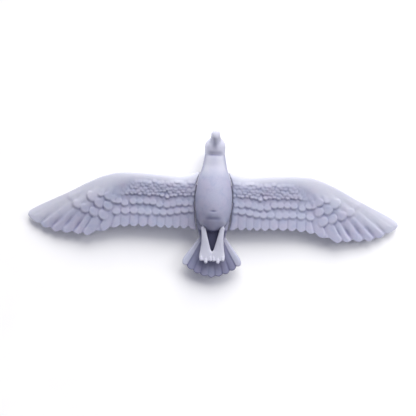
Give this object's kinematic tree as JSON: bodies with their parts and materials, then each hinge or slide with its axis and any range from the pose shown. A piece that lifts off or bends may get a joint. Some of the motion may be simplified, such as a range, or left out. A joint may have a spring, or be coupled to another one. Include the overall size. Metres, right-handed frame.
{
  "type": "motion wing decoy",
  "caption": "Small seabird decoy with spread flapping wings, fanned tail, turning head and tucked feet, cast in pale blue-grey resin; rests on a flat pad on its back.",
  "frame": {"origin": "centre of the flat pad on the bird's back, which is the middle of the box's underside; the bird lies on its back", "axes": "+X to the bird's left wing tip, +Y to the beak, +Z out of the belly"},
  "size_m": [0.1058, 0.0418, 0.0108],
  "materials": {
    "cast_resin": "satin",
    "steel": "bright",
    "nylon": "satin"
  },
  "bodies": {
    "body": {"back_shell": "cast_resin", "belly_shell": "cast_resin", "hinge_frame": "steel", "frame_screw_front": "steel", "frame_screw_rear": "steel", "shell_screw_front": "steel", "shell_screw_rear": "steel", "left_hinge_pin": "steel", "right_hinge_pin": "steel", "left_return_spring": "steel", "right_return_spring": "steel", "neck_washer": "steel", "tail_fan": "cast_resin", "tail_screw": "steel", "legs_and_feet": "cast_resin"},
    "left_wing": {"left_wing": "cast_resin", "left_wing_hub": "nylon", "left_wing_screw": "steel"},
    "right_wing": {"right_wing": "cast_resin", "right_wing_hub": "nylon", "right_wing_screw": "steel"},
    "head": {"head": "cast_resin", "neck_pivot_screw": "steel"}
  },
  "joints": [
    {"name": "left_flap", "type": "hinge", "parent": "body", "child": "left_wing", "pos_m": [0.0026, 0.003, 0.0042], "axis": [0, 1, 0], "range_deg": [-20, 30], "stiffness_Nm_per_rad": 0.0076, "deforming": ["left_return_spring"]},
    {"name": "right_flap", "type": "hinge", "parent": "body", "child": "right_wing", "pos_m": [-0.0026, 0.003, 0.0042], "axis": [0, 1, 0], "range_deg": [-30, 20], "stiffness_Nm_per_rad": 0.0076, "deforming": ["right_return_spring"]},
    {"name": "head_turn", "type": "hinge", "parent": "body", "child": "head", "pos_m": [0, 0.014, 0.0053], "axis": [0, 1, 0], "range_deg": [-40, 40]}
  ],
  "couplings": [
    {"joint": "right_flap", "follows": "left_flap", "ratio": -1}
  ]
}
